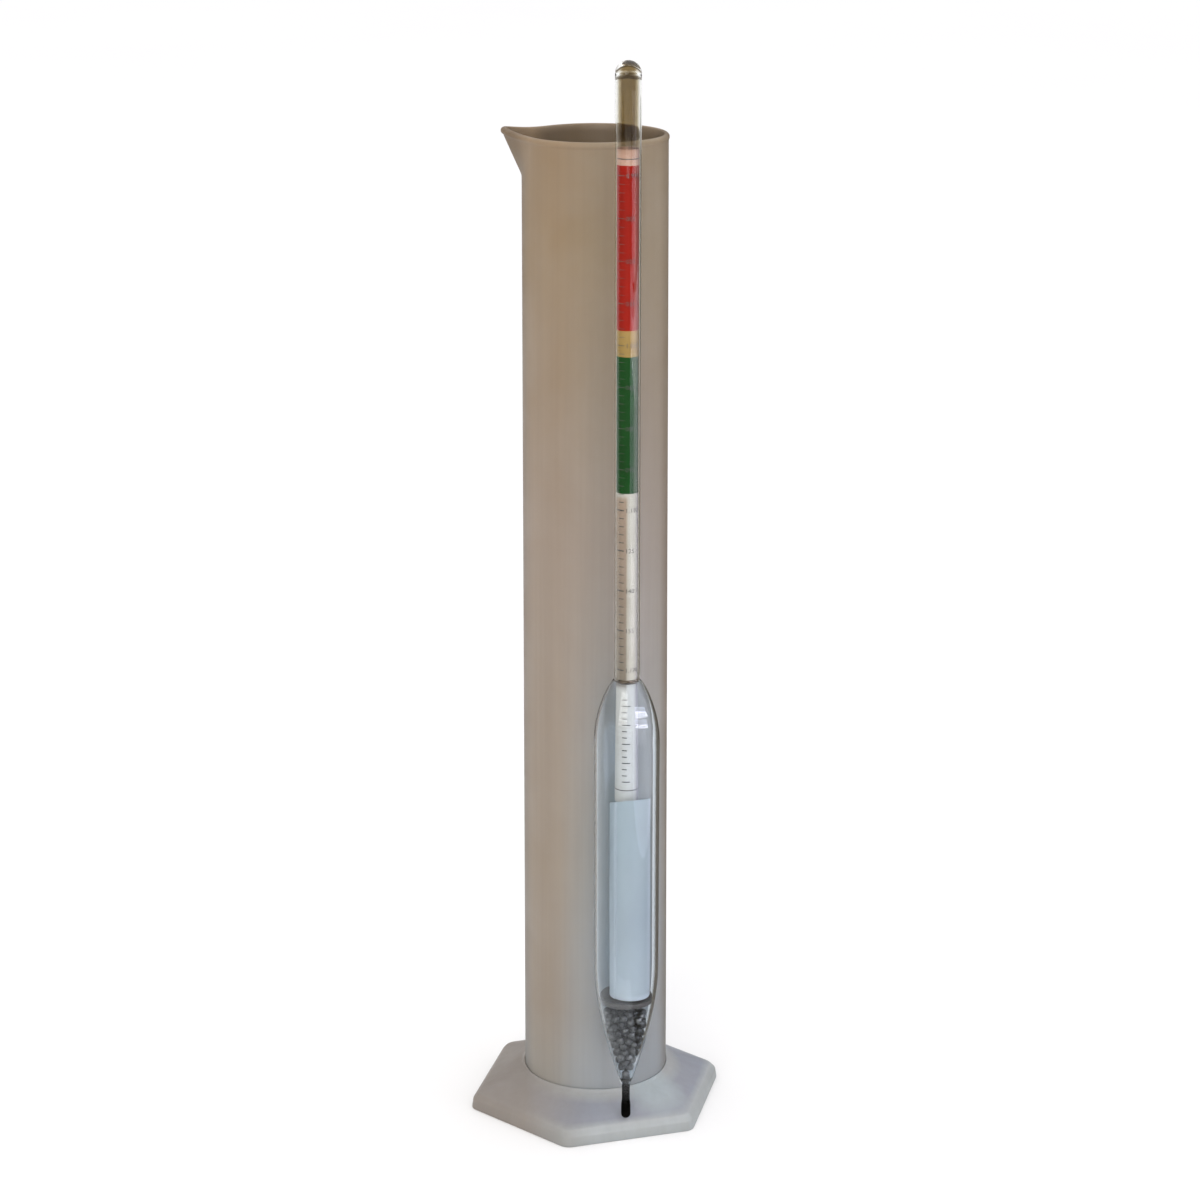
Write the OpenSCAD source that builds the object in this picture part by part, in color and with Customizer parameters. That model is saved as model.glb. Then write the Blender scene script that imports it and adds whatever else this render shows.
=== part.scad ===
// Hydrometer for home brewing with its trial jar.
// The jar stands on a push-on hexagonal foot, its spout points towards -X, and the hydrometer stands
// upright on the front of the foot. The origin is on the jar's axis, at the surface the foot stands on.

/* [Jar] */
// Height of the rim above the table
jar_h = 249; // [180:1:300]
// Outside diameter at the rim
jar_rim_d = 35; // [34:0.2:36]
// Outside diameter where the tube enters the foot
jar_base_d = 36.4; // [36:0.1:36.8]
// Thickness of the wall
jar_wall = 1.3; // [0.9:0.1:1.6]
// Thickness of the jar's floor
jar_floor = 2; // [1.5:0.1:3]
// Thickness of the rounded rim
rim_bead_d = 1.8; // [1.4:0.1:2.4]

/* [Spout] */
// How far the spout's tip is from the jar's axis
spout_reach = 23; // [20:0.5:26]
// How far down the jar the spout starts
spout_drop = 10.5; // [8:0.5:14]
// How far the tip stands above the rim
spout_rise = 1.2; // [0.5:0.1:2]
// Angle of the spout away from -X, towards the back
spout_turn = 8; // [0:1:20]

/* [Foot] */
// Width across the corners at the table
foot_across = 67.2; // [66:0.2:72]
// Turn of the hexagon's first corner from +X
foot_turn = 17.2; // [0:0.1:60]
// Height of the outer edge of the sloping top
foot_edge_h = 4; // [3.4:0.1:5]
// Height of the collar round the tube
collar_h = 9.4; // [8.8:0.1:10.4]
// Thickness of the foot's shell
foot_wall = 1.8; // [1.2:0.1:2]
// Radius of the foot's corners
foot_corner_r = 3; // [2:0.25:4]

/* [Hydrometer] */
// Whole length of the glass
hydro_l = 264; // [250:1:275]
// Diameter of the float
float_d = 16; // [14:0.2:16.2]
// Diameter of the stem
stem_d = 6.2; // [5.8:0.1:6.4]
// Thickness of the float's glass
float_wall = 0.7; // [0.6:0.1:1.2]
// Thickness of the stem's glass
stem_wall = 0.3; // [0.2:0.05:0.4]
// Distance from the jar's axis to the hydrometer's axis
hydro_reach = 26.4; // [26.4:0.1:26.8]
// Direction of the hydrometer from +X
hydro_turn = -73.2; // [-80:0.2:-65]
// Diameter of the rolled card inside the float
card_d = 10.2; // [9:0.2:11]
// How far the card leans from the hydrometer's axis towards +X
card_shift = 0.9; // [0:0.1:1]
// Angle at which the card's top is cut, lower towards the jar
card_slant = 20; // [0:1:25]
// Diameter of one lead shot
shot_d = 2; // [1.8:0.1:2.2]

/* [Hidden] */

smooth = 96;      // facets of a full circle in the preview
hull_smooth = 32; // facets of the circles inside a hull
skin = 0.01;      // thickness of the discs that a hull joins

// Jar: the tube stands on a ledge inside the foot's socket
ledge_h = 3.2;
ledge_bore_r = 12;
socket_gap = 0.06;
rim_r = jar_rim_d / 2;
base_r = jar_base_d / 2;
bead_r = rim_bead_d / 2;
floor_top = ledge_h + jar_floor;
taper = (base_r - rim_r) / (jar_h - ledge_h);
spout_tip_r = 0.9;
spout_root_r = 0.6;   // radius of the point where the spout leaves the tube
spout_band_h = 0.6;   // height of the band of tube wall that the spout's sides run into
spout_cover = 0.25;   // how far the ends of the spout's sides lie inside the tube's wall
trough_open = 4;      // how far the cut that hollows the spout goes on above the rim

// Foot
socket_r = base_r + socket_gap;
collar_wall = 1.3;
collar_r = socket_r + collar_wall;
collar_fillet = 1.5;
fillet_sink = 0.9;    // how far the fillet starts below the top of the slope
foot_r = foot_across / 2;
skirt_h = 2.6;
skirt_lean = 0.4;
bevel = 1.3;
skirt_r = foot_r - skirt_lean;
edge_r = skirt_r - bevel;
slope_top_h = collar_h - 1;
rib_t = 1.2;
rib_low = 0.6;
rib_h = 3;
rib_sink = 1;         // how far a rib runs into the collar

// Hydrometer, measured up from its tip
float_r = float_d / 2;
stem_r = stem_d / 2;
tail_r = 1;
tip_bead_r = 1.2;
tip_bead_h = 3.8;
tip_neck_h = 5;
tail_l = 8.6;
cone_l = 33.9;
shoulder_low = 100.2;
neck_h = 116;
capillary_r = 0.68;
capillary_low = 1.6;
dome_t = 1.4;
profile_steps = 10;

// What is inside the glass
scale_low = 85.2;
scale_high = 244;
scale_r = 2.65;
paper_t = 0.2;
glue_low = -1.4;      // the drop of glue, measured from the neck
glue_high = 1;
card_t = 0.2;
card_overlap = 1.6;   // how far the card's top stands above the paper's low end, which is inside it
card_foot_gap = 0.1;  // between the card and the seal below it
shot_low = 12.6;
shot_high = 32.3;
shot_gap = 0.06;
seal_t = 1.6;
seal_dish = 0.5;      // how much lower the seal's middle is than its edge
seal_gap = 0.08;      // between the seal and the glass round it
resin_high = 11.2;
fill_gap = 0.03;

// Height of the foot's sloping top where the hydrometer stands, and of the hydrometer's tip above it
slope_foot_r = edge_r * cos(30);
slope_angle = atan((slope_top_h - foot_edge_h) / (slope_foot_r - collar_r));
stand_h = foot_edge_h + (slope_foot_r - hydro_reach) * tan(slope_angle);
stand_gap = 0.06;
tip_h = stand_h + tip_bead_r * (1 / cos(slope_angle) - 1) + stand_gap;

// Outside radius of the cone that narrows to the tail, from its bottom (0) to its top (1)
function cone_r(t) = tail_r + (float_r - tail_r) * sin(90 * t);
// Inside radius of the same cone
function cone_bore_r(t) = max(capillary_r, cone_r(t) - float_wall);
// Inside radius of the cone at a height above the tip
function bore_at(h) = cone_bore_r((h - tail_l) / cone_l);
// Outside radius of the shoulder, from the float (0) to the stem (1)
function shoulder_r(t) = stem_r + (float_r - stem_r) * pow(max(cos(90 * t), 0), 0.75);
// Inside radius of the shoulder, with glass that thins towards the stem
function shoulder_bore_r(t) = shoulder_r(t) - float_wall - (stem_wall - float_wall) * t;

module on_hydrometer() {
    rotate(hydro_turn)
        translate([hydro_reach, 0, tip_h])
            children();
}

// A rounded hexagon, as thin as a sheet, with its corners at radius r
module hexagon_sheet(r, h) {
    for (turn = [0 : 60 : 300])
        rotate(foot_turn + turn)
            translate([r - foot_corner_r / cos(30), 0, h])
                cylinder(h = skin, r = foot_corner_r, $fn = hull_smooth);
}

// The foot's outer shape, drawn in by inset on every side
module foot_shape(inset) {
    hull() {
        hexagon_sheet(foot_r - inset, -inset);
        hexagon_sheet(skirt_r - inset, skirt_h - inset / 2);
        hexagon_sheet(edge_r - inset, foot_edge_h - inset);
        translate([0, 0, slope_top_h - inset])
            cylinder(h = skin, r = collar_r - inset / 2, $fn = 2 * hull_smooth);
    }
}

module collar() {
    rotate_extrude($fn = smooth)
        union() {
            square([collar_r, collar_h - collar_wall / 2]);
            translate([socket_r, collar_h - collar_wall])
                square([collar_wall / 2, collar_wall]);
            translate([collar_r - collar_wall / 2, collar_h - collar_wall / 2])
                circle(r = collar_wall / 2, $fn = smooth);
            translate([collar_r, slope_top_h - fillet_sink])
                difference() {
                    square(collar_fillet);
                    translate([collar_fillet, collar_fillet])
                        circle(r = collar_fillet, $fn = smooth);
                }
        }
}

module foot_ribs() {
    for (turn = [0 : 60 : 300])
        rotate(foot_turn + turn)
            translate([collar_r - rib_sink, -rib_t / 2, rib_low])
                cube([foot_r - collar_r - foot_wall, rib_t, rib_h]);
}

module hex_foot() {
    color("#a4a7ae")
        difference() {
            union() {
                difference() {
                    foot_shape(0);
                    foot_shape(foot_wall);
                }
                intersection() {
                    foot_ribs();
                    foot_shape(foot_wall / 2);
                }
                collar();
            }
            translate([0, 0, ledge_h])
                cylinder(h = collar_h, r = socket_r, $fn = smooth);
            translate([0, 0, -ledge_h])
                cylinder(h = 3 * ledge_h, r = ledge_bore_r, $fn = smooth);
        }
}

// The spout's body between the rim and its tip. The inset shape is open at the top and cuts the trough.
module spout_shape(inset, open) {
    rotate(180 - spout_turn)
        hull() {
            translate([spout_reach - spout_tip_r - 1.3 * inset, 0, jar_h + spout_rise - spout_tip_r])
                cylinder(h = spout_tip_r + open, r = spout_tip_r, $fn = hull_smooth);
            translate([0, 0, jar_h - bead_r - spout_band_h])
                cylinder(h = spout_band_h + open, r = rim_r - spout_cover - inset, $fn = 2 * hull_smooth);
            translate([rim_r - spout_root_r - 2 * spout_cover - inset, 0,
                       jar_h - spout_drop + 1.5 * inset])
                cylinder(h = skin, r = spout_root_r, $fn = hull_smooth);
        }
}

module jar_tube() {
    color("#a89a8b")
        difference() {
            union() {
                translate([0, 0, ledge_h])
                    cylinder(h = jar_h - bead_r - ledge_h, r1 = base_r, r2 = rim_r, $fn = smooth);
                translate([0, 0, jar_h - bead_r])
                    rotate_extrude($fn = smooth)
                        translate([rim_r - jar_wall / 2, 0])
                            circle(r = bead_r, $fn = hull_smooth);
                spout_shape(0, 0);
            }
            translate([0, 0, floor_top])
                cylinder(h = jar_h, r1 = base_r - jar_wall, r2 = base_r - jar_wall - jar_h * taper,
                         $fn = smooth);
            spout_shape(jar_wall, trough_open);
        }
}

module float_bulb() {
    outside = concat(
        [for (a = [15 : 15 : 90]) [tip_bead_r * sin(a), tip_bead_r * (1 - cos(a))]],
        [[tip_bead_r, tip_bead_h], [tail_r, tip_neck_h]],
        [for (i = [0 : profile_steps])
            [cone_r(i / profile_steps), tail_l + cone_l * i / profile_steps]],
        [for (i = [0 : profile_steps])
            [shoulder_r(i / profile_steps),
             shoulder_low + (neck_h - shoulder_low) * i / profile_steps]]);
    inside = concat(
        [[0, capillary_low], [capillary_r, capillary_low]],
        [for (i = [0 : profile_steps])
            [cone_bore_r(i / profile_steps), tail_l + cone_l * i / profile_steps]],
        [for (i = [0 : profile_steps])
            [shoulder_bore_r(i / profile_steps),
             shoulder_low + (neck_h - shoulder_low) * i / profile_steps]]);
    last = len(inside) - 1;
    color("#a9bcc4")
        on_hydrometer()
            rotate_extrude($fn = smooth)
                polygon(concat([[0, 0]], outside, [for (i = [0 : last]) inside[last - i]]));
}

module stem_tube() {
    top = hydro_l - stem_r;
    bore_r = stem_r - stem_wall;
    color("#7d725a")
        on_hydrometer()
            difference() {
                union() {
                    translate([0, 0, neck_h])
                        cylinder(h = top - neck_h, r = stem_r, $fn = smooth);
                    translate([0, 0, top])
                        sphere(r = stem_r, $fn = smooth);
                }
                translate([0, 0, neck_h - stem_r])
                    cylinder(h = top - dome_t - neck_h + stem_r, r = bore_r, $fn = smooth);
                translate([0, 0, top - dome_t])
                    sphere(r = bore_r, $fn = smooth);
            }
}

module paper_scale() {
    color("#e8e4d6")
        on_hydrometer()
            translate([0, 0, scale_low])
                difference() {
                    cylinder(h = scale_high - scale_low, r = scale_r, $fn = smooth);
                    translate([0, 0, -1])
                        cylinder(h = scale_high - scale_low + 2, r = scale_r - paper_t, $fn = smooth);
                }
}

module scale_glue() {
    neck_bore_r = stem_r - stem_wall - fill_gap;
    color("#4b4030")
        on_hydrometer()
            translate([0, 0, neck_h])
                rotate_extrude($fn = smooth)
                    polygon([[scale_r, glue_low], [stem_r, glue_low + 0.2], [stem_r, glue_low / 2],
                             [neck_bore_r, -0.1], [neck_bore_r, glue_high], [scale_r, glue_high]]);
}

module float_card() {
    low = shot_high + seal_t + card_foot_gap;
    high = scale_low + card_overlap;
    cut = 2 * card_d;
    color("#b9c6d2")
        on_hydrometer()
            translate([card_shift * cos(hydro_turn), -card_shift * sin(hydro_turn), low])
                difference() {
                    cylinder(h = high - low, d = card_d, $fn = smooth);
                    translate([0, 0, -1])
                        cylinder(h = high - low + 2, d = card_d - 2 * card_t, $fn = smooth);
                    translate([card_d / 2, 0, high - low])
                        rotate([0, -card_slant, 0])
                            translate([-cut, -cut / 2, 0])
                                cube(cut);
                }
}

// One level of shot: rings that start against the glass and go in towards the axis
module shot_level(level_r, turn) {
    pitch = shot_d + shot_gap;
    for (ring = [0 : floor(level_r / pitch)]) {
        ring_r = level_r - ring * pitch;
        count = ring_r < pitch / 2 ? 1 : floor(180 / asin(min(1, pitch / 2 / ring_r)));
        for (i = [0 : count - 1])
            rotate(turn * (ring + 1) + i * 360 / count)
                translate([count == 1 ? 0 : ring_r, 0, 0])
                    sphere(d = shot_d, $fn = hull_smooth);
    }
}

module ballast_shot() {
    pitch = shot_d + shot_gap;
    levels = floor((shot_high - shot_d / 2 - shot_low) / pitch);
    color("#5f6063")
        on_hydrometer()
            for (level = [0 : levels]) {
                h = shot_low + level * pitch;
                translate([0, 0, h])
                    shot_level(max(0, bore_at(h - shot_d / 2) - shot_d / 2 - shot_gap), 23 * level);
            }
}

module shot_seal() {
    color("#77706a")
        on_hydrometer()
            rotate_extrude($fn = smooth)
                polygon([[0, shot_high], [bore_at(shot_high) - seal_gap, shot_high],
                         [bore_at(shot_high + seal_t) - seal_gap, shot_high + seal_t],
                         [0, shot_high + seal_t - seal_dish]]);
}

module tail_resin() {
    color("#25231f")
        on_hydrometer()
            rotate_extrude($fn = smooth)
                polygon([[0, capillary_low + fill_gap],
                         [capillary_r - fill_gap, capillary_low + fill_gap],
                         [capillary_r - fill_gap, tail_l],
                         [bore_at(resin_high) - 5 * fill_gap, resin_high], [0, resin_high]]);
}

hex_foot();
jar_tube();
float_bulb();
stem_tube();
paper_scale();
scale_glue();
float_card();
ballast_shot();
shot_seal();
tail_resin();
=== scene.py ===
import math
import random

import bmesh
import bpy
import numpy as np
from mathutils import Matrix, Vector


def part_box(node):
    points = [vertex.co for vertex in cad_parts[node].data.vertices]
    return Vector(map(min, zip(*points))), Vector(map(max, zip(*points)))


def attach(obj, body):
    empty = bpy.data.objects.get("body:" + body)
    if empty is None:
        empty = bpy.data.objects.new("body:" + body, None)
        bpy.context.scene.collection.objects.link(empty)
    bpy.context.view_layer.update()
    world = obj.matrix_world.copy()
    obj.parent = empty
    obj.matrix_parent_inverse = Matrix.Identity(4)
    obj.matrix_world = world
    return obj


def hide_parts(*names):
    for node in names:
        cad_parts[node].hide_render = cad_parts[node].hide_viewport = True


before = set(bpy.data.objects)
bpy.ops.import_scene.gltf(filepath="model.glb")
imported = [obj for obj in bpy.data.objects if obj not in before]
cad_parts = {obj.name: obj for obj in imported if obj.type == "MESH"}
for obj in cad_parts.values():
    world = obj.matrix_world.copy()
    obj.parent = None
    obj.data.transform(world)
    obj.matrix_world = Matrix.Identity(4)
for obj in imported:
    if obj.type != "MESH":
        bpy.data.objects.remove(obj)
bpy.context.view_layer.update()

# ---------------------------------------------------------------- sizes, in millimetres
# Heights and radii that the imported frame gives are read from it. The others repeat the design.
MM = 0.001


def node_box(name):
    """Lowest and highest corner of a CAD node, in millimetres."""
    low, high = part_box(name)
    return [v / MM for v in low], [v / MM for v in high]


jar_low, jar_high = node_box("jar_tube")
foot_high = node_box("hex_foot")[1]
float_low, float_high = node_box("float_bulb")
stem_low, stem_high = node_box("stem_tube")
paper_low, paper_high = node_box("paper_scale")
seal_low, seal_high = node_box("shot_seal")
card_low, card_high = node_box("float_card")
resin_high = node_box("tail_resin")[1]

# Jar
SPOUT_REACH = 23.0
SPOUT_DROP = 10.5
SPOUT_RISE = 1.2
SPOUT_TURN = math.radians(8)
JAR_H = jar_high[2] - SPOUT_RISE
JAR_LOW = jar_low[2]
BASE_R = jar_high[1]
RIM_R = 17.5
WALL = 1.3
BEAD = 0.9
FLOOR_TOP = JAR_LOW + 2.0

# Foot
FOOT_R = 33.6
CORNER_R = 3.0
FOOT_TURN = math.radians(17.2)
SKIRT_R, SKIRT_H = FOOT_R - 0.4, 2.6
EDGE_R, EDGE_H = SKIRT_R - 1.3, 4.0
COLLAR_H = foot_high[2]
SOCKET_R = BASE_R + 0.06
COLLAR_R = SOCKET_R + 1.3
SLOPE_TOP = COLLAR_H - 1.0
LEDGE_R = 12.0
SHELL = 1.8

# Hydrometer: heights are measured up from its tip
AXIS_X = (stem_low[0] + stem_high[0]) / 2
AXIS_Y = (stem_low[1] + stem_high[1]) / 2
HYDRO_TURN = math.atan2(AXIS_Y, AXIS_X)
TIP_Z = float_low[2]
FLOAT_R = (float_high[1] - float_low[1]) / 2
STEM_R = (stem_high[0] - stem_low[0]) / 2
LENGTH = stem_high[2] - TIP_Z
TAIL_R, TAIL_L = 1.0, 8.6
TIP_R, TIP_H = 1.2, 3.8
CONE_L = 33.9
SHOULDER = 100.2
NECK = stem_low[2] - TIP_Z
FLOAT_WALL, STEM_WALL = 0.7, 0.3
CAPILLARY_R, CAPILLARY_LOW = 0.68, 1.6
DOME = 1.4
PAPER_R = (paper_high[0] - paper_low[0]) / 2
PAPER_LOW = paper_low[2] - TIP_Z
PAPER_HIGH = paper_high[2] - TIP_Z
CARD_R = (card_high[0] - card_low[0]) / 2
CARD_X = (card_low[0] + card_high[0]) / 2
CARD_Y = (card_low[1] + card_high[1]) / 2
CARD_LAP = math.radians(45.6)
CARD_FOLD = 1.25  # radians to the right of the front
CARD_SLANT = math.radians(20)
CARD_LOW = card_low[2] - TIP_Z
CARD_HIGH = card_high[2] - TIP_Z
SEAL_LOW = seal_low[2] - TIP_Z
SEAL_HIGH = seal_high[2] - TIP_Z
SHOT_R = 1.0
SHOT_LOW = 12.4
BALLS_DROPPED = 128

# The printed face's middle as an angle round the slip, and where its ticks and its second scale stand
PRINT_TURN = math.radians(-108)
COLUMN, SECOND_COLUMN, SECOND_NUMBERS = 0.0, 5.4, 7.5

# Edges of the printed zones of the scale, from the bottom up
GREEN_LOW, GREEN_HIGH, RED_LOW, RED_HIGH = 162.3, 195.1, 201.7, 239.9


# ---------------------------------------------------------------- mesh helpers
def in_scene(name, data):
    """A new object in the scene, from a mesh, lamp, camera or line of text."""
    thing = bpy.data.objects.new(name, data)
    bpy.context.scene.collection.objects.link(thing)
    return thing


def new_piece(name, body, bm, material, replaces=(), sharp=None):
    """A bmesh as a piece of the object, riding on its body and standing for its CAD nodes."""
    mesh = finish_mesh(bm, name, sharp)
    piece = in_scene(name, mesh)
    mesh.materials.append(material)
    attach(piece, body)
    if replaces:
        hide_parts(*replaces)


def finish_mesh(bm, name, sharp=None):
    """Turns a bmesh into a smooth-shaded mesh, in metres. Edges over the sharp angle stay crisp."""
    bmesh.ops.remove_doubles(bm, verts=bm.verts, dist=1e-5)
    bmesh.ops.recalc_face_normals(bm, faces=bm.faces)
    bmesh.ops.scale(bm, vec=(MM, MM, MM), verts=bm.verts)
    mesh = bpy.data.meshes.new(name)
    bm.to_mesh(mesh)
    bm.free()
    mesh.polygons.foreach_set("use_smooth", [True] * len(mesh.polygons))
    if sharp is not None:
        mesh.set_sharp_from_angle(angle=math.radians(sharp))
    mesh.update()
    return mesh


def on_circle(x, y, r, a, z):
    """The point at radius r, angle a and height z round the vertical axis at x, y."""
    return (x + r * math.cos(a), y + r * math.sin(a), z)


def skin_columns(bm, columns, closed_profile=False):
    """Faces between neighbouring columns of points that go round an axis and meet again."""
    rings = [[bm.verts.new(p) for p in column] for column in columns]
    steps = len(rings[0]) if closed_profile else len(rings[0]) - 1
    for a, b in zip(rings, rings[1:] + rings[:1]):
        for i in range(steps):
            j = (i + 1) % len(a)
            bm.faces.new((a[i], b[i], b[j], a[j]))


def round_angles(segments):
    """Evenly spaced angles of a full turn."""
    return [2 * math.pi * k / segments for k in range(segments)]


def lathe(bm, profile, segments):
    """A surface of revolution round the hydrometer's axis, from (radius, height above the tip) points."""
    skin_columns(bm, [[on_circle(AXIS_X, AXIS_Y, r, a, TIP_Z + h) for r, h in profile]
                      for a in round_angles(segments)])


def rounded(points, radii, steps=4, closed=False):
    """A polyline of (x, y) points with each corner turned into an arc-like curve."""
    out = []
    last = len(points) - 1
    for i, (p, r) in enumerate(zip(points, radii)):
        if r <= 0 or (not closed and i in (0, last)):
            out.append(p)
            continue
        p = np.array(p, float)
        before = np.array(points[i - 1], float) - p
        after = np.array(points[(i + 1) % len(points)], float) - p
        reach_a = min(r, 0.48 * np.linalg.norm(before))
        reach_b = min(r, 0.48 * np.linalg.norm(after))
        a = p + before / np.linalg.norm(before) * reach_a
        b = p + after / np.linalg.norm(after) * reach_b
        for k in range(steps + 1):
            t = k / steps
            out.append(tuple((1 - t) ** 2 * a + 2 * t * (1 - t) * p + t ** 2 * b))
    return out


# ---------------------------------------------------------------- material helpers
class Nodes:
    """Short calls for building a node material."""

    def __init__(self, name):
        self.material = bpy.data.materials.new(name)
        self.material.use_nodes = True
        self.tree = self.material.node_tree
        self.tree.nodes.clear()
        self.out = self.tree.nodes.new("ShaderNodeOutputMaterial")
        self.place = self.tree.nodes.new("ShaderNodeTexCoord").outputs["Object"]

    def add(self, kind, **values):
        node = self.tree.nodes.new(kind)
        for key, value in values.items():
            if hasattr(node, key) and key not in node.inputs:
                setattr(node, key, value)
            else:
                self.feed(node.inputs[key.replace("_", " ")], value)
        return node

    def feed(self, socket, value):
        if isinstance(value, bpy.types.NodeSocket):
            self.tree.links.new(value, socket)
        elif isinstance(value, (tuple, list)) and len(value) == 3 and socket.type == "RGBA":
            socket.default_value = (*value, 1)
        else:
            socket.default_value = value

    def maths(self, operation, *values):
        node = self.tree.nodes.new("ShaderNodeMath")
        node.operation = operation
        for socket, value in zip(node.inputs, values):
            self.feed(socket, value)
        return node.outputs[0]

    def stretched(self, scale):
        """Object coordinates, scaled per axis."""
        return self.add("ShaderNodeMapping", Vector=self.place, Scale=scale).outputs[0]

    def noise(self, scale, detail, roughness, vector=None, distortion=0.0):
        node = self.add("ShaderNodeTexNoise", Vector=vector or self.place, Scale=scale, Detail=detail,
                        Roughness=roughness, Distortion=distortion)
        return node.outputs["Fac"]

    def remap(self, value, from_low, from_high, to_low, to_high):
        node = self.tree.nodes.new("ShaderNodeMapRange")
        for socket, v in zip(node.inputs, (value, from_low, from_high, to_low, to_high)):
            self.feed(socket, v)
        return node.outputs[0]

    def ramp(self, value, stops, interpolation="LINEAR"):
        node = self.tree.nodes.new("ShaderNodeValToRGB")
        node.color_ramp.interpolation = interpolation
        elements = node.color_ramp.elements
        while len(elements) > 1:
            elements.remove(elements[-1])
        elements[0].position = stops[0][0]
        elements[0].color = (*stops[0][1], 1)
        for position, colour in stops[1:]:
            elements.new(position).color = (*colour, 1)
        self.feed(node.inputs[0], value)
        return node.outputs[0]

    def mix(self, factor, a, b, blend="MIX"):
        node = self.tree.nodes.new("ShaderNodeMix")
        node.data_type = "RGBA"
        node.blend_type = blend
        self.feed(node.inputs[0], factor)
        self.feed(node.inputs[6], a)
        self.feed(node.inputs[7], b)
        return node.outputs[2]

    def split(self):
        """The object coordinates as three numbers."""
        return self.add("ShaderNodeSeparateXYZ", Vector=self.place).outputs

    def height(self):
        """Height above the table, in metres."""
        return self.split()["Z"]

    def off_axis(self, x, y):
        """Distances towards +X and +Y from a vertical axis at x, y in millimetres."""
        place = self.split()
        return self.maths("SUBTRACT", place["X"], x * MM), self.maths("SUBTRACT", place["Y"], y * MM)

    def radius(self, x, y):
        """Distance from a vertical axis."""
        dx, dy = self.off_axis(x, y)
        squares = self.maths("ADD", self.maths("MULTIPLY", dx, dx), self.maths("MULTIPLY", dy, dy))
        return self.maths("SQRT", squares)

    def angle_round(self, x, y):
        """Angle round a vertical axis: 0 at the front, and positive to the right."""
        dx, dy = self.off_axis(x, y)
        return self.maths("ARCTAN2", dx, self.maths("MULTIPLY", dy, -1.0))

    def by_height(self, low, high, at_low, at_high):
        """A value that goes from at_low to at_high between two heights in millimetres."""
        return self.remap(self.height(), low * MM, high * MM, at_low, at_high)

    def by_angle(self, angle, low, high, at_low, at_high):
        """A value that goes from at_low to at_high between two angles in degrees."""
        return self.remap(angle, math.radians(low), math.radians(high), at_low, at_high)

    def line_at(self, value, place, narrow, wide, strength):
        """A soft line where a value passes a place: full within narrow of it, and gone beyond wide."""
        away = self.maths("ABSOLUTE", self.maths("SUBTRACT", value, place))
        return self.remap(away, narrow, wide, strength, 0.0)

    def product(self, first, *others):
        for other in others:
            first = self.maths("MULTIPLY", first, other)
        return first

    def stain(self, amount, tone, colour):
        """A tone multiplied by a colour, by an amount from 0 to 1."""
        return self.mix(amount, tone, colour, "MULTIPLY")

    def facing(self):
        """How far a surface turns away from the view: 0 seen straight on, 1 at its outline."""
        return self.add("ShaderNodeLayerWeight", Blend=0.5).outputs["Facing"]

    def bump(self, height, strength, distance, normal=None):
        node = self.add("ShaderNodeBump", Strength=strength, Distance=distance, Height=height)
        if normal is not None:
            self.feed(node.inputs["Normal"], normal)
        return node.outputs[0]

    def principled(self, **values):
        return self.add("ShaderNodeBsdfPrincipled", **values)

    def blend_shaders(self, factor, a, b):
        node = self.tree.nodes.new("ShaderNodeMixShader")
        self.feed(node.inputs[0], factor)
        self.tree.links.new(a, node.inputs[1])
        self.tree.links.new(b, node.inputs[2])
        return node.outputs[0]

    def finish(self, shader):
        self.tree.links.new(shader, self.out.inputs["Surface"])
        return self.material


# ---------------------------------------------------------------- materials
def frosted_plastic(n, tone, see_through, roughness):
    """Moulded frosted polypropylene of a given tone: cloudy, with flow lines and fine grain."""
    cloud = n.noise(38, 4, 0.55, distortion=0.4)
    tone = n.mix(n.remap(cloud, 0.3, 0.7, 0.0, 0.16), tone, (0.5, 0.47, 0.44))
    flow = n.noise(1, 3, 0.6, vector=n.stretched((420, 420, 9)))
    tone = n.mix(n.remap(flow, 0.35, 0.75, 0.0, 0.12), tone, (0.16, 0.13, 0.11))
    grain = n.noise(2600, 2, 0.6)
    lines = n.noise(1, 2, 0.5, vector=n.stretched((1500, 1500, 24)))
    normal = n.bump(grain, 0.12, 0.00006)
    normal = n.bump(lines, 0.16, 0.0001, normal)
    rough = n.remap(n.noise(90, 5, 0.65), 0.3, 0.72, roughness - 0.07, roughness + 0.12)
    body = n.principled(Base_Color=tone, Roughness=rough, Normal=normal)
    body.inputs["IOR"].default_value = 1.49
    body.inputs["Specular IOR Level"].default_value = 0.3
    body.inputs["Subsurface Weight"].default_value = 0.35
    body.inputs["Subsurface Radius"].default_value = (1.0, 0.85, 0.7)
    body.inputs["Subsurface Scale"].default_value = 0.003
    through = n.add("ShaderNodeBsdfTranslucent", Color=tone, Normal=normal)
    return n.finish(n.blend_shaders(see_through, body.outputs[0], through.outputs[0]))


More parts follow.
